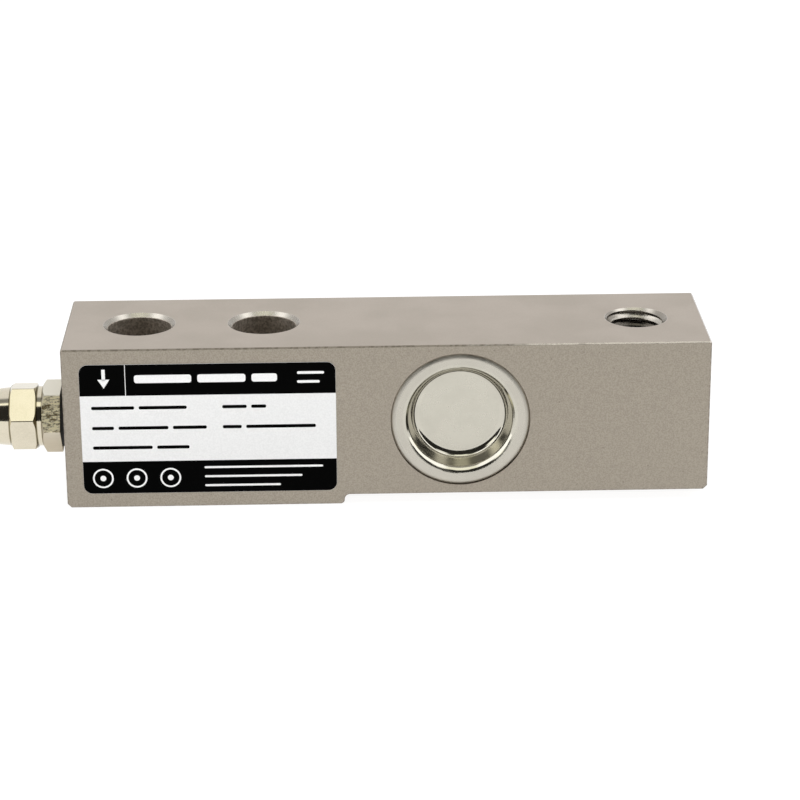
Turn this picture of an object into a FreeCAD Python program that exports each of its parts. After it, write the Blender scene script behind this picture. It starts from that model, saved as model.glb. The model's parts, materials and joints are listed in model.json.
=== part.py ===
import FreeCAD, Part
import math
import os

# Cantilever beam load cell: a square steel bar that is bolted down at its pad and loaded at its far
# end, with a foil gauge on each side of the thin web between its pockets.
# Lengths are in millimetres, angles in degrees.
# The origin is midway between the bolt holes, on the underside of the pad.
# +X runs along the bar to the load end, -Y is the labelled front, +Z is up.

V = FreeCAD.Vector

# Bar
BEAM_WIDTH = 31.8
FREE_END_HEIGHT = 31.8
PAD_LENGTH = 56.2
PAD_STEP = 2.0  # the pad stands this far below the free end
PAD_CORNER_RADIUS = 0.8
PAD_FILLET_RADIUS = 1.1
END_CHAMFER = 0.8  # lower edge of both end faces
EDGE_BREAK = 0.3

# Holes through the bar
FIXED_END_MARGIN = 14.8  # end face to the first bolt hole
BOLT_SPACING = 25.4
BOLT_HOLE_DIAMETER = 13.0
BOLT_HOLE_CHAMFER = 0.85
LOAD_HOLE_SPACING = 76.2  # second bolt hole to the load hole
LOAD_END_MARGIN = 13.6  # load hole to the far end face
LOAD_THREAD_DIAMETER = 12.0
LOAD_HOLE_CHAMFER = 0.4

# Gauge pockets and their pressed cups
CUP_X = 52.2
CUP_EDGE_LAND = 1.9  # bar left above and below the cup's flange
CUP_MOUTH_DIAMETER = 22.6  # where the flange turns into the lip
CUP_MOUTH_BEND = 0.9
CUP_LIP_ANGLE = 46.0  # slope of the lip below the flange
CUP_LIP_DEPTH = 0.85
CUP_LIP_BEND = 1.2
CUP_WALL_ANGLE = 70.5  # slope of the wall below the lip
CUP_DEPTH = 4.3
CUP_FLOOR_BEND = 1.75
CUP_RIM_ANGLE = 38.0  # the flange falls away to this slope at its edge
CUP_RIM_BEND = 1.8
CUP_RIM_LAND = 0.05  # straight run past the rim's bend
CUP_SHEET = 0.7
CUP_RECESS = 0.05  # flange below the bar's side face
CUP_GAP = 0.08  # round the flange
POCKET_CLEARANCE = 0.5  # between the cup's lip and the pocket's mouth
WEB_THICKNESS = 8.0

# Wire passages
WIRE_CHANNEL_DIAMETER = 3.0
WIRE_CHANNEL_WALL = 1.0  # between the channel and the bolt holes
CROSS_HOLE_DIAMETER = 2.6
CROSS_HOLE_GAP = 1.5  # between the terminal board and the hole in the web

# Label
LABEL_WIDTH = 51.2
LABEL_HEIGHT = 27.6
LABEL_THICKNESS = 0.15
LABEL_END_MARGIN = 3.5
LABEL_CORNER_RADIUS = 1.8

# Cable gland
GLAND_SETBACK = 8.5  # front face to the gland's axis
GLAND_THREAD_DIAMETER = 10.0
GLAND_THREAD_LENGTH = 6.5
GLAND_THREAD_CLEARANCE = 0.05
GLAND_HOLE_RELIEF = 0.8  # hole depth past the end of the thread
GLAND_HOLE_CHAMFER = 0.3
WASHER_THICKNESS = 0.9
WASHER_DIAMETER = 12.4
FLANGE_LENGTH = 3.7
FLANGE_FLATS = 12.9
FLANGE_TURN = 24.0  # tilt of the front flat above the horizontal
NECK_LENGTH = 1.15
NECK_DIAMETER = 12.2
NUT_LENGTH = 5.4
NUT_FLATS = 12.5
NUT_TURN = 40.7  # tilt of the front flat above the horizontal
HEX_EDGE_RADIUS = 0.35
HEX_CHAMFER_ANGLE = 30.0
DOME_LENGTH = 4.8
DOME_DIAMETER = 12.0
DOME_TAPER = 0.55  # loss of radius along the dome
DOME_RADIUS = 2.4
CLAMP_THREAD_DIAMETER = 9.9
CLAMP_THREAD_LENGTH = 4.6
CABLE_DIAMETER = 5.0
SEAL_WALL = 0.6
SEAL_LENGTH = 6.4
CLAW_LENGTH = 3.6
CLAW_BASE = 1.4
CLAW_SLIT = 0.5
CLAW_SLITS = 8
CONE_RUN = 1.5  # length of the nut's inner cone for each millimetre of radius
DOME_EXIT_CLEARANCE = 0.35  # round the rubber sleeve
SLIDING_CLEARANCE = 0.08

# Gauges and wiring inside the pockets
GAUGE_WIDTH = 8.0
GAUGE_HEIGHT = 6.0
GAUGE_BACKING = 0.12
GAUGE_FOIL = 0.06
GRID_LENGTH = 2.6
GRID_WIDTH = 1.7
TAB_SIZE = 0.7
TAB_INSET = 0.2
LEAD_COUNT = 4
LEAD_PITCH = 1.2
LEAD_WIDTH = 0.3
LEAD_THICKNESS = 0.1
LEAD_LANDING = 0.3  # how far before the board a lead has reached its height
BOARD_GAP = 2.0  # gauge edge to terminal board
BOARD_WIDTH = 6.0
BOARD_HEIGHT = 3.0
BOARD_THICKNESS = 0.8
BOARD_CORNER_RADIUS = 0.4
COMPENSATION_BOARD_WIDTH = 8.0
RESISTOR_LENGTH = 2.0
RESISTOR_WIDTH = 1.25
RESISTOR_HEIGHT = 0.5
RESISTOR_SPACING = 3.4
RESISTOR_EDGE = 0.08
COATING_MARGIN = 1.0
COATING_THICKNESS = 1.4
COATING_RADIUS = 0.6
COATING_CLEARANCE = 0.05
LINK_WIRE_DIAMETER = 0.6
LINK_WIRE_PITCH = 0.7
LINK_WIRE_COUNT = 3
LINK_WIRE_BEND = 1.0
LINK_WIRE_LAP = 0.9  # how far a wire reaches over its board
LINK_WIRE_CLEARANCE = 0.05

OVERCUT = 1.0  # how far a cutter reaches past the surface that it opens

# Places that follow from the sizes above
FIXED_END_X = -(BOLT_SPACING / 2 + FIXED_END_MARGIN)
LOAD_HOLE_X = BOLT_SPACING / 2 + LOAD_HOLE_SPACING
LOAD_END_X = LOAD_HOLE_X + LOAD_END_MARGIN
RISER_X = FIXED_END_X + PAD_LENGTH
TOP_Z = PAD_STEP + FREE_END_HEIGHT
FRONT_Y = -BEAM_WIDTH / 2
BOLT_XS = (-BOLT_SPACING / 2, BOLT_SPACING / 2)

CUP_Z = PAD_STEP + FREE_END_HEIGHT / 2
CUP_FLANGE_RADIUS = FREE_END_HEIGHT / 2 - CUP_EDGE_LAND
CUP_MOUTH_RADIUS = CUP_MOUTH_DIAMETER / 2
CUP_BACK_RADIUS = CUP_MOUTH_RADIUS + CUP_SHEET * math.tan(math.radians(CUP_LIP_ANGLE / 2))
CUP_FACE_Y = FRONT_Y + CUP_RECESS
POCKET_RADIUS = CUP_BACK_RADIUS + POCKET_CLEARANCE
WEB_FACE_Y = -WEB_THICKNESS / 2

# Along the gland's axis, outwards from the fixed end face
GLAND_Y = FRONT_Y + GLAND_SETBACK
GLAND_Z = TOP_Z / 2
GLAND_AXIS = ((0, 0), (1, 0))
FLANGE_START = WASHER_THICKNESS
NECK_START = FLANGE_START + FLANGE_LENGTH
NUT_START = NECK_START + NECK_LENGTH
DOME_START = NUT_START + NUT_LENGTH
DOME_END = DOME_START + DOME_LENGTH
CLAW_START = NUT_START + CLAMP_THREAD_LENGTH
CLAW_END = CLAW_START + CLAW_LENGTH
SEAL_RADIUS = CABLE_DIAMETER / 2 + SEAL_WALL
GLAND_BORE_RADIUS = SEAL_RADIUS + SLIDING_CLEARANCE
DOME_EXIT_RADIUS = SEAL_RADIUS + DOME_EXIT_CLEARANCE
GLAND_THREAD_RADIUS = GLAND_THREAD_DIAMETER / 2 - GLAND_THREAD_CLEARANCE
CLAMP_RADIUS = CLAMP_THREAD_DIAMETER / 2
NUT_BORE_RADIUS = CLAMP_RADIUS + SLIDING_CLEARANCE

# In a pocket, from its axis and from the web's face
GAUGE_TOP = GAUGE_BACKING + GAUGE_FOIL
TAB_LOW = TAB_INSET - GAUGE_HEIGHT / 2
TAB_HIGH = TAB_LOW + TAB_SIZE
BOARD_V = -(GAUGE_HEIGHT / 2 + BOARD_GAP + BOARD_HEIGHT / 2)
CROSS_HOLE_U = -(BOARD_WIDTH / 2 + CROSS_HOLE_GAP + CROSS_HOLE_DIAMETER / 2)
LEAD_US = [LEAD_PITCH * (i - (LEAD_COUNT - 1) / 2) for i in range(LEAD_COUNT)]


def rounded_corner(before, here, after, radius):
    """Start, middle and end of the arc that rounds a corner."""
    back = (before - here).normalize()
    ahead = (after - here).normalize()
    half = back.getAngle(ahead) / 2
    reach = radius / math.tan(half)
    middle = here + (back + ahead).normalize() * (radius / math.sin(half) - radius)
    return here + back * reach, middle, here + ahead * reach


def outline(corners, place):
    """A closed wire through (u, v, radius) corners, with an arc of that radius at each corner."""
    points = [place(u, v) for u, v, _ in corners]
    following = points[1:] + points[:1]
    radii = [radius for _, _, radius in corners]
    arcs = [
        rounded_corner(points[i - 1], points[i], following[i], radius)
        for i, radius in enumerate(radii)
    ]
    edges = []
    for i, (start, middle, end) in enumerate(arcs):
        if radii[i] > 0:
            edges.append(Part.Arc(start, middle, end).toShape())
        edges.append(Part.LineSegment(end, arcs[(i + 1) % len(arcs)][0]).toShape())
    return Part.Wire(edges)


def sharp(*points):
    """Corners with no rounding."""
    return [(u, v, 0) for u, v in points]


def rectangle(u0, u1, v0, v1, radius):
    """Corners of a rectangle, all rounded alike."""
    return [(u0, v0, radius), (u1, v0, radius), (u1, v1, radius), (u0, v1, radius)]


def prism(corners, place, direction):
    """The outline swept straight along a direction."""
    return Part.Face(outline(corners, place)).extrude(direction)


def turned(corners, place, axis):
    """The outline turned once round an axis through two (u, v) points of its own plane."""
    start = place(*axis[0])
    return Part.Face(outline(corners, place)).revolve(start, place(*axis[1]) - start, 360)


def tube(points, bend, diameter):
    """Round wire along straight runs joined by arcs."""
    edges = []
    start = points[0]
    for before, here, after in zip(points, points[1:], points[2:]):
        first, middle, last = rounded_corner(before, here, after, bend)
        edges.append(Part.LineSegment(start, first).toShape())
        edges.append(Part.Arc(first, middle, last).toShape())
        start = last
    edges.append(Part.LineSegment(start, points[-1]).toShape())
    section = Part.Wire(Part.makeCircle(diameter / 2, points[0], points[1] - points[0]))
    return Part.Wire(edges).makePipeShell([section], True, True)


def on_rear(shape):
    """The same piece mirrored to the rear side of the bar."""
    return shape.mirror(V(0, 0, 0), V(0, 1, 0))


def bar_blank():
    """The bar before drilling: its side profile across the width, with broken edges."""
    corner = min(PAD_CORNER_RADIUS, PAD_STEP * 0.4)
    fillet = min(PAD_FILLET_RADIUS, PAD_STEP * 0.55)
    profile = [
        (FIXED_END_X, END_CHAMFER, 0),
        (FIXED_END_X + END_CHAMFER, 0, 0),
        (RISER_X, 0, corner),
        (RISER_X, PAD_STEP, fillet),
        (LOAD_END_X - END_CHAMFER, PAD_STEP, 0),
        (LOAD_END_X, PAD_STEP + END_CHAMFER, 0),
        (LOAD_END_X, TOP_Z - EDGE_BREAK, 0),
        (LOAD_END_X - EDGE_BREAK, TOP_Z, 0),
        (FIXED_END_X + EDGE_BREAK, TOP_Z, 0),
        (FIXED_END_X, TOP_Z - EDGE_BREAK, 0),
    ]
    blank = prism(profile, lambda x, z: V(x, FRONT_Y, z), V(0, BEAM_WIDTH, 0))
    rims = [e for e in blank.Edges if e.BoundBox.YLength < EDGE_BREAK]
    return blank.makeChamfer(EDGE_BREAK, rims)


def through_hole(x, diameter, chamfer, bottom):
    """Cutter for a vertical hole on the centre line, countersunk at both ends."""
    radius = diameter / 2
    flare = radius + chamfer + OVERCUT
    corners = sharp(
        (0, bottom - OVERCUT),
        (flare, bottom - OVERCUT),
        (radius, bottom + chamfer),
        (radius, TOP_Z - chamfer),
        (flare, TOP_Z + OVERCUT),
        (0, TOP_Z + OVERCUT),
    )
    return turned(corners, lambda r, z: V(x + r, 0, z), ((0, bottom), (0, TOP_Z)))


def pocket():
    """Cutter for the front gauge pocket and the seat of its cup."""
    mouth = V(CUP_X, FRONT_Y - OVERCUT, CUP_Z)
    inwards = V(0, 1, 0)
    seat_depth = CUP_RECESS + CUP_SHEET
    well_depth = WEB_FACE_Y - FRONT_Y
    seat = Part.makeCylinder(CUP_FLANGE_RADIUS + CUP_GAP, seat_depth + OVERCUT, mouth, inwards)
    well = Part.makeCylinder(POCKET_RADIUS, well_depth + OVERCUT, mouth, inwards)
    return seat.fuse(well)


def gland_place(s, r):
    """A point of the gland's own half plane: s outwards from the end face, r from the axis."""
    return V(FIXED_END_X - s, GLAND_Y - r, GLAND_Z)


def wire_passages():
    """Cutters for the gland's hole, the wire channel past the bolt holes and the hole in the web."""
    radius = GLAND_THREAD_DIAMETER / 2
    depth = GLAND_THREAD_LENGTH + GLAND_HOLE_RELIEF
    corners = sharp(
        (OVERCUT, 0),
        (OVERCUT, radius + GLAND_HOLE_CHAMFER + OVERCUT),
        (-GLAND_HOLE_CHAMFER, radius),
        (-depth, radius),
        (-depth, 0),
    )
    gland_hole = turned(corners, gland_place, GLAND_AXIS)
    channel_y = -(BOLT_HOLE_DIAMETER + WIRE_CHANNEL_DIAMETER) / 2 - WIRE_CHANNEL_WALL
    start = V(FIXED_END_X + depth - OVERCUT, channel_y, GLAND_Z)
    length = CUP_X - POCKET_RADIUS / 2 - start.x
    channel = Part.makeCylinder(WIRE_CHANNEL_DIAMETER / 2, length, start, V(1, 0, 0))
    start = in_pocket(CROSS_HOLE_U, BOARD_V, OVERCUT)
    length = WEB_THICKNESS + 2 * OVERCUT
    cross_hole = Part.makeCylinder(CROSS_HOLE_DIAMETER / 2, length, start, V(0, 1, 0))
    return [gland_hole, channel, cross_hole]


def beam_body():
    """The bar with its bolt holes, load hole, pockets and wire passages."""
    cutters = [through_hole(x, BOLT_HOLE_DIAMETER, BOLT_HOLE_CHAMFER, 0) for x in BOLT_XS]
    cutters.append(through_hole(LOAD_HOLE_X, LOAD_THREAD_DIAMETER, LOAD_HOLE_CHAMFER, PAD_STEP))
    cutters += [pocket(), on_rear(pocket())]
    cutters += wire_passages()
    return bar_blank().cut(cutters)


def sheet_back(face, sheet):
    """Corners of the back of a bent sheet, last to first, from all but the end corners of its face."""
    points = [V(u, v, 0) for u, v, _ in face]
    back = []
    for before, here, after, (_, _, bend) in zip(points, points[1:], points[2:], face[1:]):
        sides = [V(-run.y, run.x, 0).normalize() for run in (here - before, after - here)]
        corner = here + (sides[0] + sides[1]) * (sheet / (1 + sides[0].dot(sides[1])))
        turn = sides[0].cross(sides[1]).z
        back.append((corner.x, corner.y, bend - math.copysign(sheet, turn)))
    return back[::-1]


def seal_cup():
    """The front cup: sheet drawn into a flat-floored well, with a flange that seats in the bar."""
    well_radius = CUP_MOUTH_RADIUS - CUP_LIP_DEPTH / math.tan(math.radians(CUP_LIP_ANGLE))
    wall_run = (CUP_DEPTH - CUP_LIP_DEPTH) / math.tan(math.radians(CUP_WALL_ANGLE))
    rim = math.radians(CUP_RIM_ANGLE)
    rim_run = CUP_RIM_BEND * math.tan(rim / 2) + CUP_RIM_LAND
    face = [
        (0, CUP_DEPTH, 0),
        (well_radius - wall_run, CUP_DEPTH, CUP_FLOOR_BEND),
        (well_radius, CUP_LIP_DEPTH, CUP_LIP_BEND),
        (CUP_MOUTH_RADIUS, 0, CUP_MOUTH_BEND),
        (CUP_FLANGE_RADIUS - rim_run * math.cos(rim), 0, CUP_RIM_BEND),
    ]
    edge = sharp((CUP_FLANGE_RADIUS, rim_run * math.sin(rim)), (CUP_FLANGE_RADIUS, CUP_SHEET))
    back = sheet_back(face, CUP_SHEET) + sharp((0, CUP_DEPTH + CUP_SHEET))
    axis = ((0, 0), (0, CUP_DEPTH))
    return turned(face + edge + back, lambda r, d: V(CUP_X + r, CUP_FACE_Y + d, CUP_Z), axis)


def rating_label():
    """Foil label stuck to the front face, at half the pad's height."""
    left = FIXED_END_X + LABEL_END_MARGIN
    low = (TOP_Z - LABEL_HEIGHT) / 2
    corners = rectangle(left, left + LABEL_WIDTH, low, low + LABEL_HEIGHT, LABEL_CORNER_RADIUS)
    return prism(corners, lambda x, z: V(x, FRONT_Y, z), V(0, -LABEL_THICKNESS, 0))


def hexagon(flats, start, end, turn, both_ends):
    """Hexagon bar along the gland's axis, rounded on its edges, chamfered at its outer or both ends."""
    apex = flats / 2 / math.cos(math.pi / 6)
    angles = [math.radians(turn + 30 + 60 * i) for i in range(6)]
    corners = [(apex * math.cos(a), apex * math.sin(a), HEX_EDGE_RADIUS) for a in angles]
    bar = prism(
        corners,
        lambda u, v: V(FIXED_END_X - start, GLAND_Y - u, GLAND_Z + v),
        V(start - end, 0, 0),
    )
    slope = (apex - flats / 2) * math.tan(math.radians(HEX_CHAMFER_ANGLE))
    inner_rim = [(start, flats / 2), (start + slope, apex)] if both_ends else [(start, apex)]
    barrel = sharp((start, 0), *inner_rim, (end - slope, apex), (end, flats / 2), (end, 0))
    return bar.common(turned(barrel, gland_place, GLAND_AXIS))


def ring(start, end, inner, outer):
    """Plain ring round the gland's axis."""
    corners = sharp((start, inner), (end, inner), (end, outer), (start, outer))
    return turned(corners, gland_place, GLAND_AXIS)


def gland_sealing_washer():
    """Rubber washer between the gland's flange and the bar."""
    return ring(0, WASHER_THICKNESS, GLAND_THREAD_DIAMETER / 2, WASHER_DIAMETER / 2)


def gland_body():
    """Brass body: entry thread, hexagon flange, round neck and the thread that the cap nut takes."""
    stem = sharp(
        (-GLAND_THREAD_LENGTH, 0),
        (-GLAND_THREAD_LENGTH, GLAND_THREAD_RADIUS),
        (NECK_START, GLAND_THREAD_RADIUS),
        (NECK_START, NECK_DIAMETER / 2),
        (NUT_START, NECK_DIAMETER / 2),
        (NUT_START, CLAMP_RADIUS),
        (CLAW_START, CLAMP_RADIUS),
        (CLAW_START, 0),
    )
    flange = hexagon(FLANGE_FLATS, FLANGE_START, NECK_START, FLANGE_TURN, False)
    blank = turned(stem, gland_place, GLAND_AXIS).fuse(flange)
    start = gland_place(CLAW_START + OVERCUT, 0)
    length = GLAND_THREAD_LENGTH + CLAW_START + 2 * OVERCUT
    bore = Part.makeCylinder(GLAND_BORE_RADIUS, length, start, V(1, 0, 0))
    return blank.cut(bore).removeSplitter()


def gland_cap_nut():
    """Hexagon nut that runs out into a tapered dome, with an inner cone that closes the claw."""
    dome = [
        (DOME_START, 0, 0),
        (DOME_START, DOME_DIAMETER / 2, 0),
        (DOME_END, DOME_DIAMETER / 2 - DOME_TAPER, DOME_RADIUS),
        (DOME_END, 0, 0),
    ]
    cone_start = CLAW_START + CLAW_BASE
    cone_end = cone_start + (NUT_BORE_RADIUS - DOME_EXIT_RADIUS) * CONE_RUN
    cavity = sharp(
        (NUT_START - OVERCUT, 0),
        (NUT_START - OVERCUT, NUT_BORE_RADIUS),
        (cone_start, NUT_BORE_RADIUS),
        (cone_end, DOME_EXIT_RADIUS),
        (DOME_END + OVERCUT, DOME_EXIT_RADIUS),
        (DOME_END + OVERCUT, 0),
    )
    blank = hexagon(NUT_FLATS, NUT_START, DOME_START, NUT_TURN, True)
    blank = blank.fuse(turned(dome, gland_place, GLAND_AXIS))
    return blank.cut(turned(cavity, gland_place, GLAND_AXIS)).removeSplitter()


def gland_clamp_claw():
    """Plastic claw: a ring with slotted fingers that lean in along the nut's cone."""
    base_end = CLAW_START + CLAW_BASE - SLIDING_CLEARANCE
    outer = NUT_BORE_RADIUS - SLIDING_CLEARANCE
    tip = outer - (CLAW_END - base_end) / CONE_RUN
    corners = sharp(
        (CLAW_START, GLAND_BORE_RADIUS),
        (CLAW_START, outer),
        (base_end, outer),
        (CLAW_END, tip),
        (CLAW_END, GLAND_BORE_RADIUS),
    )
    claw = turned(corners, gland_place, GLAND_AXIS)
    corner = gland_place(CLAW_END + OVERCUT, 0) - V(0, 0, CLAW_SLIT / 2)
    slit = Part.makeBox(CLAW_END - base_end + OVERCUT, NUT_BORE_RADIUS, CLAW_SLIT, corner)
    slits = []
    for i in range(CLAW_SLITS):
        gap = slit.copy()
        gap.rotate(gland_place(0, 0), V(1, 0, 0), 360 * i / CLAW_SLITS)
        slits.append(gap)
    return claw.cut(slits)


def gland_seal_insert():
    """Rubber sleeve that the claw squeezes on the cable."""
    end = CLAW_END + SLIDING_CLEARANCE
    return ring(end - SEAL_LENGTH, end, CABLE_DIAMETER / 2, SEAL_RADIUS)


def in_pocket(u, v, h):
    """A point of the front pocket: u along the bar, v up from its axis, h off the web."""
    return V(CUP_X + u, WEB_FACE_Y - h, CUP_Z + v)


def pad(corners, low, high):
    """A flat piece with the given outline between two heights off the web."""
    return prism(corners, lambda u, v: in_pocket(u, v, low), V(0, low - high, 0))


def slab(u0, u1, v0, v1, low, high):
    """A square-cornered flat piece between two heights off the web."""
    return pad(rectangle(u0, u1, v0, v1, 0), low, high)


def shear_gauge():
    """Foil gauge: backing with two grids at 45 degrees to the bar and a row of solder tabs."""
    half_u = GAUGE_WIDTH / 2
    half_v = GAUGE_HEIGHT / 2
    run = GRID_LENGTH / math.sqrt(2)
    grid_low = TAB_HIGH + TAB_INSET
    foils = []
    for side in (-1, 1):
        near = side * TAB_INSET
        far = side * (TAB_INSET + GRID_WIDTH)
        lean = side * run
        grid = sharp(
            (near, grid_low),
            (far, grid_low),
            (far + lean, grid_low + run),
            (near + lean, grid_low + run),
        )
        foils.append(pad(grid, GAUGE_BACKING, GAUGE_TOP))
    for u in LEAD_US:
        reach = TAB_SIZE / 2
        foils.append(slab(u - reach, u + reach, TAB_LOW, TAB_HIGH, GAUGE_BACKING, GAUGE_TOP))
    return slab(-half_u, half_u, -half_v, half_v, 0, GAUGE_BACKING).fuse(foils).removeSplitter()


def gauge_leads():
    """Ribbon leads that step up from the gauge's tabs to the terminal board."""
    lift = -GAUGE_HEIGHT / 2
    land = BOARD_V + BOARD_HEIGHT / 2 + LEAD_LANDING
    profile = sharp(
        (TAB_HIGH, GAUGE_TOP),
        (lift, GAUGE_TOP),
        (land, BOARD_THICKNESS),
        (BOARD_V, BOARD_THICKNESS),
        (BOARD_V, BOARD_THICKNESS + LEAD_THICKNESS),
        (land, BOARD_THICKNESS + LEAD_THICKNESS),
        (lift, GAUGE_TOP + LEAD_THICKNESS),
        (TAB_HIGH, GAUGE_TOP + LEAD_THICKNESS),
    )
    lead = prism(profile, lambda v, h: in_pocket(-LEAD_WIDTH / 2, v, h), V(LEAD_WIDTH, 0, 0))
    return Part.makeCompound([lead.translated(V(u, 0, 0)) for u in LEAD_US])


def board(width, v):
    """Small circuit board on the web, centred on the pocket's axis at a given height."""
    half = BOARD_HEIGHT / 2
    corners = rectangle(-width / 2, width / 2, v - half, v + half, BOARD_CORNER_RADIUS)
    return pad(corners, 0, BOARD_THICKNESS)


def silicone_coating():
    """Moisture coat over the gauge, hollow where the gauge and its leads lie."""
    half_u = GAUGE_WIDTH / 2 + COATING_MARGIN
    half_v = GAUGE_HEIGHT / 2 + COATING_MARGIN
    coat = pad(rectangle(-half_u, half_u, -half_v, half_v, COATING_RADIUS), 0, COATING_THICKNESS)
    top = in_pocket(0, 0, COATING_THICKNESS).y
    rim = [e for e in coat.Edges if e.BoundBox.YMax - top < COATING_CLEARANCE]
    coat = coat.makeFillet(min(COATING_RADIUS, COATING_THICKNESS * 0.4), rim)
    room_u = GAUGE_WIDTH / 2 + COATING_CLEARANCE
    room_v = GAUGE_HEIGHT / 2 + COATING_CLEARANCE
    gauge_room = slab(-room_u, room_u, -room_v, room_v, -OVERCUT, GAUGE_TOP + COATING_CLEARANCE)
    room_u = LEAD_US[-1] + LEAD_WIDTH / 2 + COATING_CLEARANCE
    room_v = TAB_HIGH + COATING_CLEARANCE
    lead_top = BOARD_THICKNESS + LEAD_THICKNESS + COATING_CLEARANCE
    lead_room = slab(-room_u, room_u, -half_v - OVERCUT, room_v, -OVERCUT, lead_top)
    return coat.cut([gauge_room, lead_room])


def resistor(u):
    """Chip resistor with broken edges on the compensation board."""
    half_u = RESISTOR_LENGTH / 2
    half_v = RESISTOR_WIDTH / 2
    top = BOARD_THICKNESS + RESISTOR_HEIGHT
    v = -BOARD_V
    chip = slab(u - half_u, u + half_u, v - half_v, v + half_v, BOARD_THICKNESS, top)
    return chip.makeChamfer(RESISTOR_EDGE, chip.Edges)


def bridge_link_wires():
    """Insulated wires through the web, laid over the near end of both terminal boards."""
    height = BOARD_THICKNESS + LINK_WIRE_DIAMETER / 2 + LINK_WIRE_CLEARANCE
    bend = min(LINK_WIRE_BEND, height * 0.9)
    end_u = LINK_WIRE_LAP - BOARD_WIDTH / 2
    wires = []
    for i in range(LINK_WIRE_COUNT):
        v = BOARD_V + LINK_WIRE_PITCH * (i - (LINK_WIRE_COUNT - 1) / 2)
        front = [in_pocket(end_u, v, height), in_pocket(CROSS_HOLE_U, v, height)]
        rear = [V(p.x, -p.y, p.z) for p in reversed(front)]
        wires.append(tube(front + rear, bend, LINK_WIRE_DIAMETER))
    return Part.makeCompound(wires)


def load_cell():
    """Every piece of the load cell by name."""
    front = {
        "seal_cup": seal_cup(),
        "shear_gauge": shear_gauge(),
        "gauge_leads": gauge_leads(),
        "terminal_board": board(BOARD_WIDTH, BOARD_V),
        "silicone_coating": silicone_coating(),
    }
    pieces = {"beam_body": beam_body(), "rating_label": rating_label()}
    for name, shape in front.items():
        pieces["front_" + name] = shape
        pieces["rear_" + name] = on_rear(shape)
    pieces["bridge_link_wires"] = bridge_link_wires()
    pieces["compensation_board"] = on_rear(board(COMPENSATION_BOARD_WIDTH, -BOARD_V))
    pieces["zero_trim_resistor"] = on_rear(resistor(-RESISTOR_SPACING / 2))
    pieces["span_trim_resistor"] = on_rear(resistor(RESISTOR_SPACING / 2))
    pieces["gland_sealing_washer"] = gland_sealing_washer()
    pieces["gland_body"] = gland_body()
    pieces["gland_clamp_claw"] = gland_clamp_claw()
    pieces["gland_seal_insert"] = gland_seal_insert()
    pieces["gland_cap_nut"] = gland_cap_nut()
    return pieces


os.makedirs("parts", exist_ok=True)
for piece_name, piece_shape in load_cell().items():
    piece_shape.exportStep(f"parts/{piece_name}.step")
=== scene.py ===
import functools
import json
import math

import bmesh
import bpy
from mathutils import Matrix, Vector


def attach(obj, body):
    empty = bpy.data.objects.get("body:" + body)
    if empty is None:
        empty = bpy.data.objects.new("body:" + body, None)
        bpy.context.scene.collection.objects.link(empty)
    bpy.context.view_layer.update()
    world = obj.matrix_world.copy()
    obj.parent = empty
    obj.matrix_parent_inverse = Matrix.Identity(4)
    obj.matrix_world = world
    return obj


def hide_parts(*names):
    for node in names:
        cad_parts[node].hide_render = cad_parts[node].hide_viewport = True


# Cantilever beam load cell on a white table. Lengths on the part are in millimetres in its own
# frame: +X along the bar to the load end, -Y the labelled front, +Z up. The table, the lamp and the
# camera are in metres. Colours are linear.

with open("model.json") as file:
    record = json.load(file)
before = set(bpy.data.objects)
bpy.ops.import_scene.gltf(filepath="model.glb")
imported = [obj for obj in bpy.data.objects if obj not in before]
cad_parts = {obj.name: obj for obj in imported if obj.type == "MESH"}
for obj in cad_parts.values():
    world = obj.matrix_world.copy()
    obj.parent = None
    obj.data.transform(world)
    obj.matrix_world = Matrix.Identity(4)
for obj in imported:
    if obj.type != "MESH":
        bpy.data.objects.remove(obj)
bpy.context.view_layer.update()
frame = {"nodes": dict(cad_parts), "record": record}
nodes = frame["nodes"]
scene = bpy.context.scene
MM = 0.001
MERGE_DISTANCE = 0.0001

# Bar and holes. A pair of radii says where a machined face starts to show and where it is full.
TOP_Z = 33.8
WORN_Z = (TOP_Z - 0.14, TOP_Z - 0.06)
BOLT_XS = (-12.7, 12.7)
BOLT_MOUTH = (7.45, 7.3)
BOLT_BORE = (6.62, 6.56)
LOAD_X = 88.9
LOAD_BOTTOM = 2.0
LOAD_MOUTH = (6.5, 6.4)

# Load thread, with its flank's angle in degrees. Its brightness fades between two depths from
# either end of the hole.
# That fade is painted shade deeper in the hole.
THREAD_PITCH = 1.75
THREAD_WALL = 5.995
THREAD_ROOT = 5.985
THREAD_CREST = 5.08
THREAD_FLANK = 30
THREAD_SOFTENING = 0.06
THREAD_SHOULDER = 0.09
THREAD_MOUTH = 0.4
THREAD_COLUMNS = 96
THREAD_BRIGHT = (3.2, 1.6)
LEAD_IN_Z = (TOP_Z - THREAD_MOUTH - 0.95, TOP_Z - THREAD_MOUTH - 0.85)

# Seal cup, as radii from its axis
CUP_X = 52.2
CUP_Z = 17.9
CUP_FLOOR = 8.0
CUP_LIP = 11.4
CUP_RIM = (12.9, 13.4)
CUP_FADE = 0.4

# Gland
FLANGE_X = -32.1
FLANGE_FADE = 0.05
GLAND_SEAMS = (FLANGE_X, -33.25, -38.65)
# Painted shade at each joint: distances where it fades out and where it is full
SEAM_SHADE_WIDTH = (0.28, 0.08)
# Heights over which the flange's painted light at the top turns to painted shade at the bottom
FLANGE_SHADE_Z = (22.0, 12.0)

# Label: sheet, ink layers and what is printed
LABEL_X = (-24.0, 27.2)
LABEL_Z = (3.1, 30.7)
LABEL_BACK = -15.9
LABEL_FACE = -16.03
LABEL_CORNER = 1.8
INK_MARGIN = 0.02
BLACK_INK_Y = (-16.04, -16.02)
WHITE_INK_Y = (-16.05, -16.035)
FIELD_Z = (10.02, 24.1)
BAR_HALF_HEIGHT = 0.35
BAR_CORNER = 0.3
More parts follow.
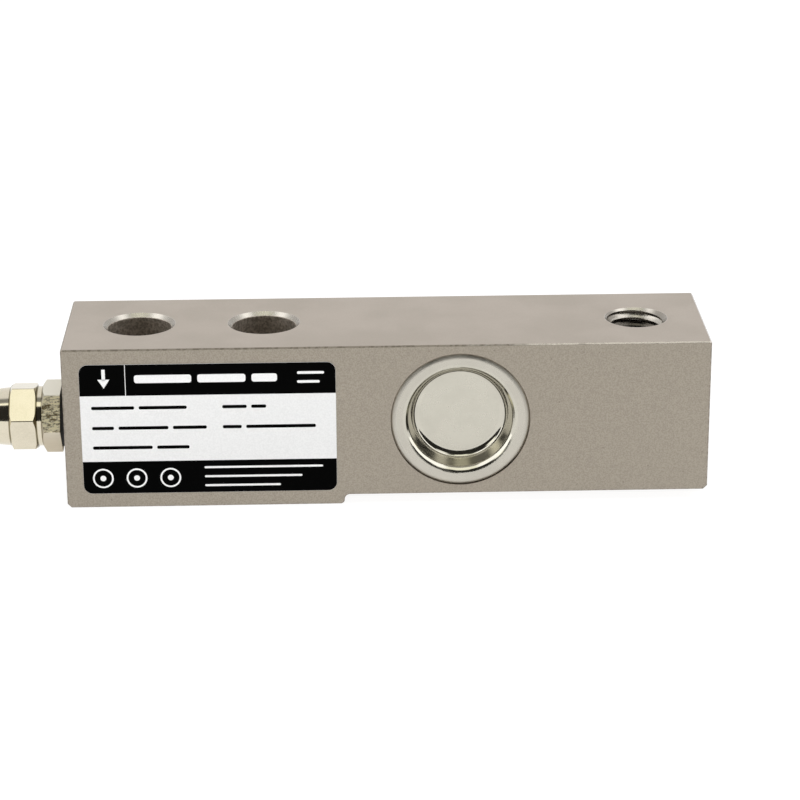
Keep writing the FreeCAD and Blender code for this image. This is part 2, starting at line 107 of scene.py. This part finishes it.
# Height of each row in the field, and the ends of its bars
FIELD_BARS = (
    (21.5, ((-21.8, -13.2), (-12.3, -2.7), (4.4, 9.3), (10.2, 13.2))),
    (17.2, ((-21.8, -17.4), (-16.5, -6.5), (-5.6, 1.2), (4.4, 8.2), (9.1, 23.1))),
    (13.0, ((-21.8, -9.8), (-8.9, -2.4))),
)
# Left, right, bottom, top and corner radius of each bar in the dark bands
BAND_BARS = (
    (-14.86, -14.74, FIELD_Z[1], LABEL_Z[1] - 0.05, 0.05),
    (-13.0, -1.6, 26.75, 28.45, 0.5),
    (-0.4, 9.2, 26.75, 28.45, 0.5),
    (10.4, 15.5, 26.75, 28.45, 0.5),
    (19.5, 24.9, 28.25, 28.8, 0.25),
    (19.5, 24.0, 26.35, 26.9, 0.25),
    (0.5, 24.4, 8.3, 8.74, 0.2),
    (0.5, 20.2, 6.33, 6.77, 0.2),
    (0.5, 15.8, 4.38, 4.82, 0.2),
)
ARROW_SHAFT = (-19.45, -18.75, 27.4, 29.7, 0.1)
ARROW_HEAD = ((-17.9, 27.6), (-20.3, 27.6), (-19.1, 25.7))
RING_XS = (-20.0, -13.2, -6.4)
RING_Z = 6.4
RING_RADII = (2.1, 1.75, 0.6)

# Finishes, as one colour or as the two ends of a change
BLASTED = (0.37, 0.328, 0.27), (0.475, 0.425, 0.355)
PIT = (0.29, 0.258, 0.215)
# Top and underside: lighter than the sides, partly for their smoother finish and partly as painted
# light on the top
LEVEL_AND_PAINTED_LIGHT = (0.46, 0.408, 0.351), (0.507, 0.45, 0.392)
# Painted shade along the bevelled edges, patchy
EDGE_SHADE = (0.37, 0.328, 0.278), (0.26, 0.229, 0.19)
# Worn runs on the top edges: partly wear, partly a painted highlight
WORN_EDGE_HIGHLIGHT = (0.58, 0.537, 0.515)
# Countersinks: painted light where they face front and back, painted shade where they face the
# bar's ends
COUNTERSINK_LIT_AND_SHADED = (0.57, 0.537, 0.48), (0.35, 0.325, 0.287)
# Painted shade on the load hole's mouth where it faces the bar's ends
LOAD_MOUTH_SIDE_SHADE = (0.32, 0.292, 0.256)
BORE = (0.31, 0.272, 0.226), (0.54, 0.478, 0.417)
CUP = (0.545, 0.522, 0.452), (0.605, 0.58, 0.502)
CUP_FLANGE = (0.51, 0.484, 0.424), (0.565, 0.536, 0.47)
NICKEL = (0.64, 0.585, 0.46), (0.72, 0.66, 0.53)
# Painted shade at the joints between the gland's parts
SEAM_SHADE = (0.2, 0.17, 0.1)
# Flange: painted light at its top, painted shade towards its bottom
FLANGE_LIGHT_AND_SHADE = (0.79, 0.765, 0.68), (0.56, 0.49, 0.38)
SCARS = (0.21, 0.164, 0.086), (0.99, 0.92, 0.69)
FRESH_CUT = (0.42, 0.39, 0.34), (0.58, 0.55, 0.5)
# Painted shade deeper in the thread, away from both mouths
DEEP_CUT_SHADE = (0.07, 0.06, 0.05), (0.16, 0.145, 0.125)
# Painted shade on the thread's lead-in where it faces the bar's ends
LEAD_IN_SIDE_SHADE = (0.3, 0.276, 0.242)

# Range of a noise value that takes a cloudy finish from one end to the other
CLOUDY = (0.3, 0.7)
ROUGHNESS_SPREAD = 0.06

# Plain finishes: two colours, size of the clouds, roughness, relief, specular level, metallic
PLAIN_FINISHES = {
    "label_foil": ((0.8, 0.8, 0.8), (0.86, 0.86, 0.86), 0.3, 0.5, 0.002, 0.2, 0.0),
    "black_ink": ((0.0005, 0.0005, 0.0005), (0.0012, 0.0012, 0.0012), 0.25, 0.5, 0.001, 0.02, 0.0),
    "white_ink": ((0.85, 0.85, 0.85), (0.92, 0.92, 0.92), 0.25, 0.5, 0.001, 0.2, 0.0),
    "black_rubber": ((0.008, 0.008, 0.008), (0.018, 0.017, 0.016), 0.3, 0.6, 0.01, 0.3, 0.0),
    "claw_nylon": ((0.02, 0.02, 0.022), (0.035, 0.035, 0.037), 0.4, 0.45, 0.004, 0.5, 0.0),
    "gauge_film": ((0.45, 0.24, 0.06), (0.6, 0.36, 0.12), 0.5, 0.3, 0.002, 0.5, 0.0),
    "lead_copper": ((0.6, 0.33, 0.17), (0.8, 0.48, 0.28), 0.3, 0.3, 0.002, 0.5, 1.0),
    "board_laminate": ((0.03, 0.13, 0.05), (0.05, 0.19, 0.08), 0.3, 0.35, 0.003, 0.5, 0.0),
    "silicone": ((0.58, 0.58, 0.56), (0.7, 0.7, 0.68), 0.8, 0.3, 0.01, 0.5, 0.0),
    "wire_insulation": ((0.4, 0.03, 0.025), (0.5, 0.05, 0.04), 0.4, 0.4, 0.003, 0.5, 0.0),
    "resistor_body": ((0.025, 0.025, 0.028), (0.04, 0.04, 0.045), 0.2, 0.4, 0.002, 0.5, 0.0),
}

# Table, in metres
TABLE_REACH = 4.0
TABLE = (0.8, 0.8, 0.8)
TABLE_IN_VIEW = (0.22, 0.22, 0.22)
TABLE_GLOW = 0.87

# Light from all round, by direction
WHITE = (1, 1, 1)
FRONT_DOME = (0.28, 0.28, 0.27)
BACK_DOME = (1.08, 1.09, 1.1)
CEILING_STRIP = (1.45, 1.45, 1.27)
SIDE_PANELS = (1.8, 1.8, 1.8)
DARK = (0.03, 0.029, 0.026)
OPENING_STRETCH = (1.17, 0, 1.45)
OPENING_SHIFT = (0, 0, -0.22)
# Two small reflectors on the camera's side: a direction and a radiance
REFLECTORS = (
    ((0.49, -0.51, 0.707), (1.4, 1.4, 1.35)),
    ((-0.73, -0.55, 0.405), (1.9, 1.9, 1.75)),
)
REFLECTOR_EDGE = (0.975, 0.999)

# Lamp and camera, in metres and degrees
FILL_PLACE = (0.03, -1.2, 0.5)
FILL_TARGET = (0.03, 0.0, 0.02)
FILL_SIZE = (1.2, 0.8)
FILL_RADIANCE = 3.4
CAMERA_PLACE = (0.0271926, -0.5244062, 0.2100793)
CAMERA_TURN = (69.7404, 0.30695, -1.56027)
CAMERA_SENSOR = 36
CAMERA_LENS = 121.655
CAMERA_CLIP = (0.01, 50)


class Nodes:
    """A node tree, with short calls for the nodes that are used here."""

    def __init__(self, tree):
        self.tree = tree

    def feed(self, socket, value):
        """Links a socket, or sets its plain value."""
        if isinstance(value, bpy.types.NodeSocket):
            self.tree.links.new(value, socket)
        elif socket.type == "RGBA":
            socket.default_value = (*value, 1)
        else:
            socket.default_value = value

    def add(self, kind, settings=None, **inputs):
        """A node with some of its settings and inputs filled in by name."""
        node = self.tree.nodes.new(kind)
        for key, value in (settings or {}).items():
            setattr(node, key, value)
        for key, value in inputs.items():
            self.feed(node.inputs[key], value)
        return node

    def fill(self, node, *values):
        """A node with its first inputs filled in by order."""
        for socket, value in zip(node.inputs, values):
            self.feed(socket, value)
        return node

    def math(self, operation, *values):
        node = self.add("ShaderNodeMath", {"operation": operation})
        return self.fill(node, *values).outputs[0]

    def plus(self, a, b):
        return self.math("ADD", a, b)

    def minus(self, a, b):
        return self.math("SUBTRACT", a, b)

    def times(self, a, b):
        return self.math("MULTIPLY", a, b)

    def most(self, *values):
        """The highest of some values."""
        return functools.reduce(lambda a, b: self.math("MAXIMUM", a, b), values)

    def weigh(self, a, a_share, b, b_share):
        """The sum of two values, each times its share."""
        return self.plus(self.times(a, a_share), self.times(b, b_share))

    def vector(self, operation, *values):
        """The outputs of a sum with vectors."""
        node = self.add("ShaderNodeVectorMath", {"operation": operation})
        return self.fill(node, *values).outputs

    def split(self, vector):
        """The three parts of a vector."""
        return tuple(self.add("ShaderNodeSeparateXYZ", Vector=vector).outputs)

    def join(self, x, y, z):
        return self.add("ShaderNodeCombineXYZ", X=x, Y=y, Z=z).outputs[0]

    def step(self, value, low, high, start=0.0, end=1.0):
        """A smooth change from start to end as value goes from low to high."""
        inputs = {"Value": value, "From Min": low, "From Max": high, "To Min": start, "To Max": end}
        node = self.add("ShaderNodeMapRange", {"interpolation_type": "SMOOTHSTEP"}, **inputs)
        return node.outputs[0]

    def mix(self, factor, first, second):
        """Between two colours."""
        node = self.add("ShaderNodeMix", {"data_type": "RGBA"}, Factor=factor)
        for socket, colour in zip((s for s in node.inputs if s.type == "RGBA"), (first, second)):
            self.feed(socket, colour)
        return next(s for s in node.outputs if s.type == "RGBA")


class Finish(Nodes):
    """A material. Its points are in millimetres on the part."""

    def __init__(self, name):
        self.material = bpy.data.materials.new(name)
        self.material.use_nodes = True
        super().__init__(self.material.node_tree)
        self.coordinates = self.add("ShaderNodeTexCoord").outputs
        scale = self.add("ShaderNodeVectorMath", {"operation": "SCALE"}, Scale=1 / MM)
        self.point = self.fill(scale, self.coordinates["Object"]).outputs[0]
        self.x, self.y, self.z = self.split(self.point)

    def facing(self, *axes):
        """How much the surface faces along these axes, each from 0 to 1."""
        parts = self.split(self.coordinates["Normal"])
        return [self.math("ABSOLUTE", parts[axis]) for axis in axes]

    def noise(self, size, detail=2.0, point=None):
        """Cloudy values around 0.5 with features of about this many millimetres."""
        node = self.add("ShaderNodeTexNoise", Scale=1 / size, Detail=detail)
        self.feed(node.inputs["Vector"], point or self.point)
        return node.outputs[0]

    def from_axis(self, a, b, a0, b0):
        """Distance from a line along the third axis through a0, b0."""
        da, db = self.minus(a, a0), self.minus(b, b0)
        return self.math("SQRT", self.weigh(da, da, db, db))

    def bump(self, height, depth):
        """Relief of this depth in millimetres."""
        return self.add("ShaderNodeBump", Height=height, Distance=depth * MM).outputs[0]

    def finish(self, **inputs):
        """Fills in the shader's inputs by name."""
        shader = self.tree.nodes["Principled BSDF"]
        for key, value in inputs.items():
            self.feed(shader.inputs[key.replace("_", " ")], value)
        return self.material


def plated_steel():
    """Dull nickel plate: blasted sides, smoother top and underside, worn edges, machined holes."""
    # Some colour here is painted light: shaded edges, highlighted worn runs, a lighter top and
    # shaded hole mouths.
    s = Finish("plated_steel")
    facing = s.facing(0, 1, 2)
    blasted = s.step(facing[2], 0.5, 0.3)
    edge = s.step(s.most(*facing), 0.85, 0.78)
    grain = s.weigh(s.noise(0.28), 0.85, s.noise(0.9), 0.15)
    pits = s.step(s.noise(0.7), 0.28, 0.23)
    edge_noise = s.noise(0.8)
    side = s.mix(pits, s.mix(s.step(grain, 0.35, 0.65), *BLASTED), PIT)
    # The top and underside are lighter than the blasted sides, partly as painted light
    level = s.mix(s.step(s.noise(14.0, 3), *CLOUDY), *LEVEL_AND_PAINTED_LIGHT)
    colour = s.mix(blasted, level, side)
    # Painted shade darkens every bevelled edge in a patchy line
    colour = s.mix(edge, colour, s.mix(s.step(edge_noise, 0.45, 0.58), *EDGE_SHADE))

    # The top edges are worn bright in ragged runs, more of them towards the load end
    # Their lighter colour is partly wear and partly a painted highlight along the top edges.
    ragged = s.weigh(s.x, 0.01, s.noise(1.5, 3), 0.6)
    height = s.plus(s.z, s.times(edge_noise, 0.3))
    worn = s.times(s.times(edge, s.step(ragged, 0.78, 1.08)), s.step(height, *WORN_Z))
    colour = s.mix(worn, colour, WORN_EDGE_HIGHLIGHT)

    from_bolts = [s.from_axis(s.x, s.y, x, 0) for x in BOLT_XS]
    load_mouth = s.step(s.from_axis(s.x, s.y, LOAD_X, 0), *LOAD_MOUTH)
    mouth = s.most(*(s.step(r, *BOLT_MOUTH) for r in from_bolts), load_mouth)
    bore = s.most(*(s.step(r, *BOLT_BORE) for r in from_bolts))
    # Painted light and shade on the hole mouths: lighter facing front and back, darker facing the
    # bar's ends
    colour = s.mix(mouth, colour, s.mix(s.step(facing[0], 0.4, 0.68), *COUNTERSINK_LIT_AND_SHADED))
    # Painted shade on the load hole's mouth where it faces the bar's ends
    colour = s.mix(s.times(load_mouth, s.step(facing[0], 0.3, 0.6)), colour, LOAD_MOUTH_SIDE_SHADE)
    colour = s.mix(bore, colour, s.mix(s.step(s.noise(0.5, 4), 0.35, 0.65), *BORE))

    unmachined = s.minus(1.0, mouth)
    smooth = s.most(s.minus(mouth, bore), s.times(worn, unmachined))
    rough = s.plus(s.step(grain, 0.2, 0.8, 0.44, 0.54), s.times(bore, 0.1))
    rough = s.minus(rough, s.times(smooth, 0.24))
    relief = s.times(grain, s.plus(s.times(blasted, 0.85), 0.15))
    turned = s.noise(0.3, point=s.join(0.0, 0.0, s.z))
    relief = s.weigh(relief, unmachined, bore, turned)
    return s.finish(Base_Color=colour, Metallic=1.0, Roughness=rough, Normal=s.bump(relief, 0.02))


def stainless_cup():
    """Pressed stainless sheet: satin flange and floor, bright where it was drawn over the die."""
    s = Finish("stainless_cup")
    r = s.from_axis(s.x, s.z, CUP_X, CUP_Z)
    smudge = s.step(s.noise(4.5, 3), *CLOUDY)
    brushed = s.noise(0.3, point=s.join(r, 0.0, 0.0))
    inside_lip = s.step(r, CUP_LIP, CUP_LIP - CUP_FADE)
    drawn = s.times(s.step(r, CUP_FLOOR, CUP_FLOOR + CUP_FADE), inside_lip)
    flange = s.step(r, CUP_LIP, CUP_LIP + CUP_FADE)
    colour = s.mix(flange, s.mix(smudge, *CUP), s.mix(smudge, *CUP_FLANGE))
    rough = s.step(s.plus(smudge, brushed), 0.3, 1.7, 0.19, 0.3)
    rough = s.minus(rough, s.times(drawn, 0.14))
    rough = s.plus(rough, s.step(r, *CUP_RIM, 0.0, 0.2))
    return s.finish(
        Base_Color=colour, Metallic=1.0, Roughness=rough, Normal=s.bump(brushed, 0.0004)
    )


def gland_nickel():
    """Bright nickel plate on turned brass, dull on the flange, scarred where a spanner held it."""
    s = Finish("gland_nickel")
    flange = s.step(s.x, FLANGE_X - FLANGE_FADE, FLANGE_X + FLANGE_FADE)
    held = s.times(flange, s.step(*s.facing(1), 0.8, 0.9))
    tint = s.weigh(s.noise(3.0), 0.6, s.noise(0.35, 3), 0.4)
    colour = s.mix(s.step(tint, *CLOUDY), *NICKEL)
    # Painted shade in a narrow band at each joint between the gland's parts
    for seam in GLAND_SEAMS:
        gap = s.math("ABSOLUTE", s.minus(s.x, seam))
        colour = s.mix(s.step(gap, *SEAM_SHADE_WIDTH), colour, SEAM_SHADE)
    # Painted light and shade on the flange: lighter at its top, darker towards its bottom
    colour = s.mix(s.times(flange, 0.8), colour, s.mix(s.step(s.z, *FLANGE_SHADE_Z), *FLANGE_LIGHT_AND_SHADE))
    scores = s.noise(0.45, 3, s.join(s.times(s.x, 0.3), s.y, s.z))
    scars = s.weigh(scores, 0.7, s.noise(0.3, 3), 0.3)
    colour = s.mix(held, colour, s.mix(s.step(scars, 0.4, 0.56), *SCARS))
    rough = s.plus(s.step(tint, 0.25, 0.75, 0.08, 0.13), s.times(flange, 0.36))
    rough = s.plus(rough, s.times(held, 0.17))
    turned = s.noise(0.12, point=s.join(s.x, 0.0, 0.0))
    relief = s.weigh(turned, 0.04, held, scars)
    return s.finish(Base_Color=colour, Metallic=1.0, Roughness=rough, Normal=s.bump(relief, 0.06))


def thread_steel():
    """Cut thread: bright near both mouths, darkened deeper in by painted shade."""
    s = Finish("thread_steel")
    from_top = s.step(s.z, *(TOP_Z - depth for depth in THREAD_BRIGHT))
    from_bottom = s.step(s.z, *(LOAD_BOTTOM + depth for depth in THREAD_BRIGHT))
    cut = s.step(s.noise(0.3, 4), *CLOUDY)
    # Painted shade: the cut darkens deeper in the hole, away from both mouths
    colour = s.mix(s.most(from_top, from_bottom), s.mix(cut, *DEEP_CUT_SHADE), s.mix(cut, *FRESH_CUT))
    # Painted shade on the lead-in where it faces the bar's ends
    lead_in = s.times(s.step(s.z, *LEAD_IN_Z), s.step(*s.facing(0), 0.3, 0.6))
    return s.finish(
        Base_Color=s.mix(lead_in, colour, LEAD_IN_SIDE_SHADE),
        Metallic=1.0,
        Roughness=s.step(cut, 0.0, 1.0, 0.2, 0.32),
        Normal=s.bump(cut, 0.006),
    )


def plain_finish(name, first, second, size, roughness, relief, specular, metallic):
    """A cloudy surface between two colours with fine relief."""
    s = Finish(name)
    cloud = s.noise(size, 4)
    spread = (roughness - ROUGHNESS_SPREAD, roughness + ROUGHNESS_SPREAD)
    return s.finish(
        Base_Color=s.mix(s.step(cloud, *CLOUDY), first, second),
        Metallic=metallic,
        Roughness=s.step(cloud, 0.2, 0.8, *spread),
        Specular_IOR_Level=specular,
        Normal=s.bump(cloud, relief),
    )


materials = {name: plain_finish(name, *values) for name, values in PLAIN_FINISHES.items()}
for make_finish in (plated_steel, stainless_cup, gland_nickel, thread_steel):
    materials[make_finish.__name__] = make_finish()

for subpart in frame["record"]["subparts"]:
    nodes[subpart["node"]].material_slots[0].material = materials[subpart["material_slot"]]


def new_piece(name, build, material):
    """A mesh piece that rides with the bar. Its points are in millimetres."""
    bm = bmesh.new()
    build(bm)
    bmesh.ops.remove_doubles(bm, verts=bm.verts, dist=MERGE_DISTANCE)
    bmesh.ops.recalc_face_normals(bm, faces=bm.faces)
    # A sharp edge keeps a flat face from bending the shading of a smooth one beside it
    for edge in bm.edges:
        edge.smooth = all(face.smooth for face in edge.link_faces)
    bmesh.ops.scale(bm, vec=(MM, MM, MM), verts=bm.verts)
    mesh = bpy.data.meshes.new(name)
    bm.to_mesh(mesh)
    bm.free()
    mesh.materials.append(materials[material])
    piece = bpy.data.objects.new(name, mesh)
    scene.collection.objects.link(piece)
    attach(piece, "root")
    return piece


def rounded_outline(x0, x1, z0, z1, radius, steps=8):
    """Points round a rectangle with rounded corners, as (x, z), from its upper right corner."""
    points = []
    corners = ((x1, z1, 0), (x0, z1, 90), (x0, z0, 180), (x1, z0, 270))
    for x, z, start in corners:
        cx = x - radius if x == x1 else x + radius
        cz = z - radius if z == z1 else z + radius
        for i in range(steps + 1):
            a = math.radians(start + 90 * i / steps)
            points.append((cx + radius * math.cos(a), cz + radius * math.sin(a)))
    return points


def round_outline(x, z, radius, steps=36):
    """Points round a circle, as (x, z)."""
    angles = [2 * math.pi * i / steps for i in range(steps)]
    return [(x + radius * math.cos(a), z + radius * math.sin(a)) for a in angles]


def add_plate(bm, outline, front, back, hole=None):
    """A flat plate between two places along Y, with an optional hole of as many points."""
    rims = []
    for points in [outline] + ([hole] if hole else []):
        rims.append([[bm.verts.new((x, y, z)) for x, z in points] for y in (front, back)])
    count = len(outline)
    for near, far in rims:
        for i in range(count):
            j = (i + 1) % count
            bm.faces.new((near[i], near[j], far[j], far[i]))
    for side in (0, 1):
        if hole:
            outer, inner = rims[0][side], rims[1][side]
            for i in range(count):
                j = (i + 1) % count
                bm.faces.new((outer[i], outer[j], inner[j], inner[i]))
        else:
            bm.faces.new(rims[0][side])


def label_sheet(bm):
    add_plate(bm, rounded_outline(*LABEL_X, *LABEL_Z, LABEL_CORNER), LABEL_FACE, LABEL_BACK)


def black_ink(bm):
    """The dark bands at the top and bottom of the label and the rows of bars in its field."""
    x0, x1 = LABEL_X[0] + INK_MARGIN, LABEL_X[1] - INK_MARGIN
    z0, z1 = LABEL_Z[0] + INK_MARGIN, LABEL_Z[1] - INK_MARGIN
    corner = LABEL_CORNER - INK_MARGIN
    top = rounded_outline(x0, x1, FIELD_Z[1], z1, corner)
    bottom = rounded_outline(x0, x1, z0, FIELD_Z[0], corner)
    half = len(top) // 2
    add_plate(bm, top[:half] + [(x0, FIELD_Z[1]), (x1, FIELD_Z[1])], *BLACK_INK_Y)
    add_plate(bm, bottom[half:] + [(x1, FIELD_Z[0]), (x0, FIELD_Z[0])], *BLACK_INK_Y)
    for z, bars in FIELD_BARS:
        low, high = z - BAR_HALF_HEIGHT, z + BAR_HALF_HEIGHT
        for left, right in bars:
            add_plate(bm, rounded_outline(left, right, low, high, BAR_CORNER), *BLACK_INK_Y)


def white_ink(bm):
    """Bars and simple shapes left white in the label's dark bands."""
    for bar in (*BAND_BARS, ARROW_SHAFT):
        add_plate(bm, rounded_outline(*bar), *WHITE_INK_Y)
    add_plate(bm, ARROW_HEAD, *WHITE_INK_Y)
    for x in RING_XS:
        outer, inner, dot = (round_outline(x, RING_Z, radius) for radius in RING_RADII)
        add_plate(bm, outer, *WHITE_INK_Y, inner)
        add_plate(bm, dot, *WHITE_INK_Y)


def load_thread(bm):
    """Thin lining of the load hole with its thread, cut back to the countersinks at both ends."""
    low, high = LOAD_BOTTOM + THREAD_MOUTH, TOP_Z - THREAD_MOUTH
    angles = [2 * math.pi * i / THREAD_COLUMNS for i in range(THREAD_COLUMNS + 1)]

    def point(r, a, z):
        return bm.verts.new((LOAD_X + r * math.cos(a), r * math.sin(a), z))

    # One pitch of the thread, as rise and radius: root, flank, softened crest, flank
    root = THREAD_PITCH / 8
    flank = (THREAD_ROOT - THREAD_CREST) * math.tan(math.radians(THREAD_FLANK))
    crest = THREAD_PITCH - 2 * flank - root
    shoulder = THREAD_CREST + THREAD_SHOULDER
    profile = [
        (0.0, THREAD_ROOT),
        (root, THREAD_ROOT),
        (root + flank - THREAD_SOFTENING, shoulder),
        (root + flank + THREAD_SOFTENING, THREAD_CREST),
        (root + flank + crest - THREAD_SOFTENING, THREAD_CREST),
        (root + flank + crest + THREAD_SOFTENING, shoulder),
    ]
    rows = []
    for turn in range(math.ceil((high - low) / THREAD_PITCH) + 2):
        for rise, radius in profile:
            row = []
            for i, a in enumerate(angles):
                z = low + (turn - 1) * THREAD_PITCH + rise + THREAD_PITCH * i / THREAD_COLUMNS
                z = min(max(z, low), high)
                r = max(radius, THREAD_ROOT - min(z - low, high - z))
                row.append(point(r, a, z))
            rows.append(row)

    # The back of the lining lies against the hole's wall and closes it
    wall = [[point(THREAD_WALL, a, z) for a in angles] for z in (high, low)]
    loop = rows + wall + rows[:1]
    for k, (below, above) in enumerate(zip(loop, loop[1:])):
        for i in range(THREAD_COLUMNS):
            face = bm.faces.new((below[i], below[i + 1], above[i + 1], above[i]))
            face.smooth = k < len(rows) - 1


sheet = new_piece("label_sheet", label_sheet, "label_foil")
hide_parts("rating_label")
new_piece("label_black_ink", black_ink, "black_ink")
new_piece("label_white_ink", white_ink, "white_ink")
new_piece("load_thread", load_thread, "thread_steel")


def studio_floor():
    """Table that shows white to the camera and in reflections, and keeps the part's soft shadow."""
    mesh = bpy.data.meshes.new("floor")
    corners = ((-1, -1), (1, -1), (1, 1), (-1, 1))
    points = [(x * TABLE_REACH, y * TABLE_REACH, 0) for x, y in corners]
    mesh.from_pydata(points, [], [(0, 1, 2, 3)])
    floor = bpy.data.objects.new("floor", mesh)
    scene.collection.objects.link(floor)
    material = bpy.data.materials.new("table_white")
    material.use_nodes = True
    mesh.materials.append(material)
    s = Nodes(material.node_tree)
    s.tree.nodes.remove(s.tree.nodes["Principled BSDF"])
    rays = s.add("ShaderNodeLightPath").outputs
    seen = s.most(rays["Is Camera Ray"], rays["Is Glossy Ray"], rays["Is Transmission Ray"])
    plain = s.add("ShaderNodeBsdfDiffuse", Color=TABLE).outputs[0]
    shadowed = s.add("ShaderNodeBsdfDiffuse", Color=TABLE_IN_VIEW).outputs[0]
    glow = s.add("ShaderNodeEmission", Strength=TABLE_GLOW).outputs[0]
    both = s.fill(s.add("ShaderNodeAddShader"), shadowed, glow).outputs[0]
    surface = s.fill(s.add("ShaderNodeMixShader"), seen, plain, both).outputs[0]
    s.feed(s.tree.nodes["Material Output"].inputs["Surface"], surface)


def studio_world():
    """White backdrop, for the camera and in reflections, and a dome that is dark at the camera."""
    world = bpy.data.worlds.new("studio")
    world.use_nodes = True
    scene.world = world
    s = Nodes(world.node_tree)
    toward = s.add("ShaderNodeTexCoord").outputs["Generated"]
    x, y, z = s.split(toward)
    width = s.math("ABSOLUTE", x)
    behind = s.step(y, 0.0, 0.3)
    dome = s.mix(behind, FRONT_DOME, BACK_DOME)
    strip = s.times(s.step(y, -0.2, -0.3), s.step(z, 0.975, 0.95))
    dome = s.mix(strip, dome, CEILING_STRIP)
    panels = s.times(s.step(width, 0.3, 0.45), s.times(s.step(y, 0.25, 0.1), s.step(z, 0.93, 0.86)))
    dome = s.mix(panels, dome, SIDE_PANELS)
    opening = s.vector("MULTIPLY_ADD", toward, OPENING_STRETCH, OPENING_SHIFT)["Vector"]
    reach = s.vector("LENGTH", opening)["Value"]
    dome = s.mix(s.times(s.step(reach, 1.03, 0.95), s.step(y, 0.0, -0.1)), dome, DARK)
    dome = s.mix(s.times(s.step(y, -0.36, -0.42), s.step(width, 0.14, 0.21)), dome, DARK)
    rays = s.add("ShaderNodeLightPath").outputs
    for direction, radiance in REFLECTORS:
        aligned = s.vector("DOT_PRODUCT", toward, direction)["Value"]
        spot = s.times(s.step(aligned, *REFLECTOR_EDGE), rays["Is Glossy Ray"])
        dome = s.mix(spot, dome, radiance)
    mirrored = s.times(s.most(rays["Is Glossy Ray"], rays["Is Transmission Ray"]), behind)
    seen = s.most(rays["Is Camera Ray"], mirrored)
    background = s.tree.nodes["Background"]
    s.feed(background.inputs["Color"], s.mix(seen, dome, WHITE))
    background.inputs["Strength"].default_value = 1.0


def front_fill():
    """A soft lamp behind and above the camera, which doesn't show in reflections."""
    lamp = bpy.data.lights.new("front_fill", "AREA")
    lamp.shape = "RECTANGLE"
    lamp.size, lamp.size_y = FILL_SIZE
    lamp.energy = FILL_RADIANCE * math.pi * FILL_SIZE[0] * FILL_SIZE[1]
    holder = bpy.data.objects.new("front_fill", lamp)
    aim = Vector(FILL_TARGET) - Vector(FILL_PLACE)
    holder.location = FILL_PLACE
    holder.rotation_euler = aim.to_track_quat("-Z", "Y").to_euler()
    holder.visible_glossy = False
    scene.collection.objects.link(holder)


def camera():
    """The photograph's view: long lens, from above the front."""
    data = bpy.data.cameras.new("camera")
    data.sensor_fit = "HORIZONTAL"
    data.sensor_width = CAMERA_SENSOR
    data.lens = CAMERA_LENS
    data.clip_start, data.clip_end = CAMERA_CLIP
    holder = bpy.data.objects.new("camera", data)
    holder.location = CAMERA_PLACE
    holder.rotation_euler = [math.radians(a) for a in CAMERA_TURN]
    scene.collection.objects.link(holder)
    scene.camera = holder


studio_floor()
studio_world()
front_fill()
camera()
scene.view_settings.view_transform = "Standard"
